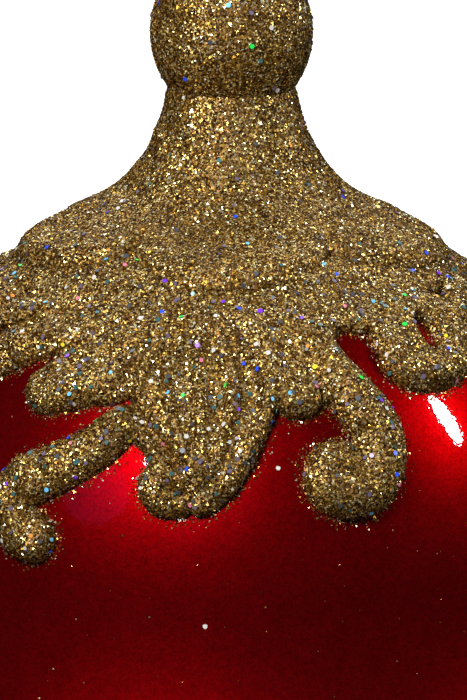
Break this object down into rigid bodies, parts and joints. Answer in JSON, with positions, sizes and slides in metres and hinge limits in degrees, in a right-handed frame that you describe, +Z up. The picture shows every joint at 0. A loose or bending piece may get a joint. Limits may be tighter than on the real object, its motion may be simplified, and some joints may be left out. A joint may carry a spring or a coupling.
{
  "type": "hanging bell ornament",
  "caption": "Hanging bell ornament with a ball finial, a flared scalloped crown, acanthus leaf castings on a round dome and a swinging clapper.",
  "frame": {"origin": "inside the top of the hanging ring, where a hook or ribbon bears, on the bell's axis", "axes": "+Z up along the bell's axis as it hangs; -Y is the front, where the first fan leaf is"},
  "size_m": [0.1698, 0.1698, 0.208],
  "materials": {
    "gold_glitter": "moulded plastic under a coat of fine gold glitter and a few bright hexagonal flakes",
    "red_lacquer": "deep red translucent lacquer over moulded plastic, high gloss, dusted with stray glitter",
    "gold_wire": "bright gold-coloured wire",
    "gold_cap": "thin pressed metal, gold coloured",
    "plated_steel": "zinc plated",
    "plug_plastic": "plain moulded plastic, hidden"
  },
  "bodies": {
    "ring": {"hanging_ring": "gold_wire"},
    "bell": {"hanger_eye": "gold_wire", "top_cap": "gold_cap", "finial_upper_half": "gold_glitter", "finial_lower_half": "gold_glitter", "spacer_tube": "plated_steel", "locating_plug": "plug_plastic", "crown": "gold_glitter", "bell_shell": "red_lacquer", "lip_band": "gold_glitter", "leaf_front": "gold_glitter", "leaf_right": "gold_glitter", "leaf_left": "gold_glitter", "scroll_front": "gold_glitter", "scroll_right": "gold_glitter", "scroll_left": "gold_glitter", "inner_washer": "plated_steel", "inner_nut": "plated_steel", "lower_eye": "plated_steel"},
    "link": {"clapper_link": "plated_steel"},
    "clapper": {"clapper_stem": "plated_steel", "clapper_collar": "gold_cap", "clapper_ball": "gold_glitter", "clapper_nut": "gold_cap"}
  },
  "joints": [
    {"name": "bell_swing", "type": "hinge", "parent": "ring", "child": "bell", "pos_m": [0, 0, -0.0159], "axis": [1, 0, 0], "range_deg": [-45, 45]},
    {"name": "link_swing", "type": "hinge", "parent": "bell", "child": "link", "pos_m": [0, 0, -0.09677], "axis": [1, 0, 0], "range_deg": [-24, 24]},
    {"name": "clapper_swing", "type": "hinge", "parent": "link", "child": "clapper", "pos_m": [0, 0, -0.10352], "axis": [0, 1, 0], "range_deg": [-24, 24]}
  ]
}
